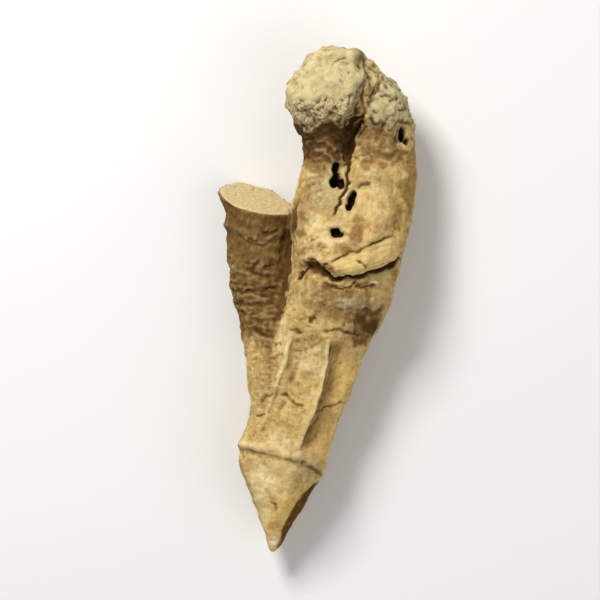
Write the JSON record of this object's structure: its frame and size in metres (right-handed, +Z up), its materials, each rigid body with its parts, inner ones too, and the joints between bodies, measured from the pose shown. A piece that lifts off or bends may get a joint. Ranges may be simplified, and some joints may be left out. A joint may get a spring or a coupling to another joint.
{
  "type": "millettia root",
  "caption": "Dried piece of forked woody root: callused stem stubs on its head, a sawn side stem, ring lines, ridges, torn bark and a slanting cut tip.",
  "frame": {"origin": "on the surface that the root lies on, under the middle of its bounding box", "axes": "+Y along the root from its cut tip towards its head, +Z up, away from the surface it lies on"},
  "size_m": [0.0448, 0.1166, 0.0281],
  "materials": {
    "bark": "dry matte tan bark, pale callus on the stubs, darker stains and cracks"
  },
  "bodies": {
    "root": {"root": "bark"}
  },
  "joints": []
}
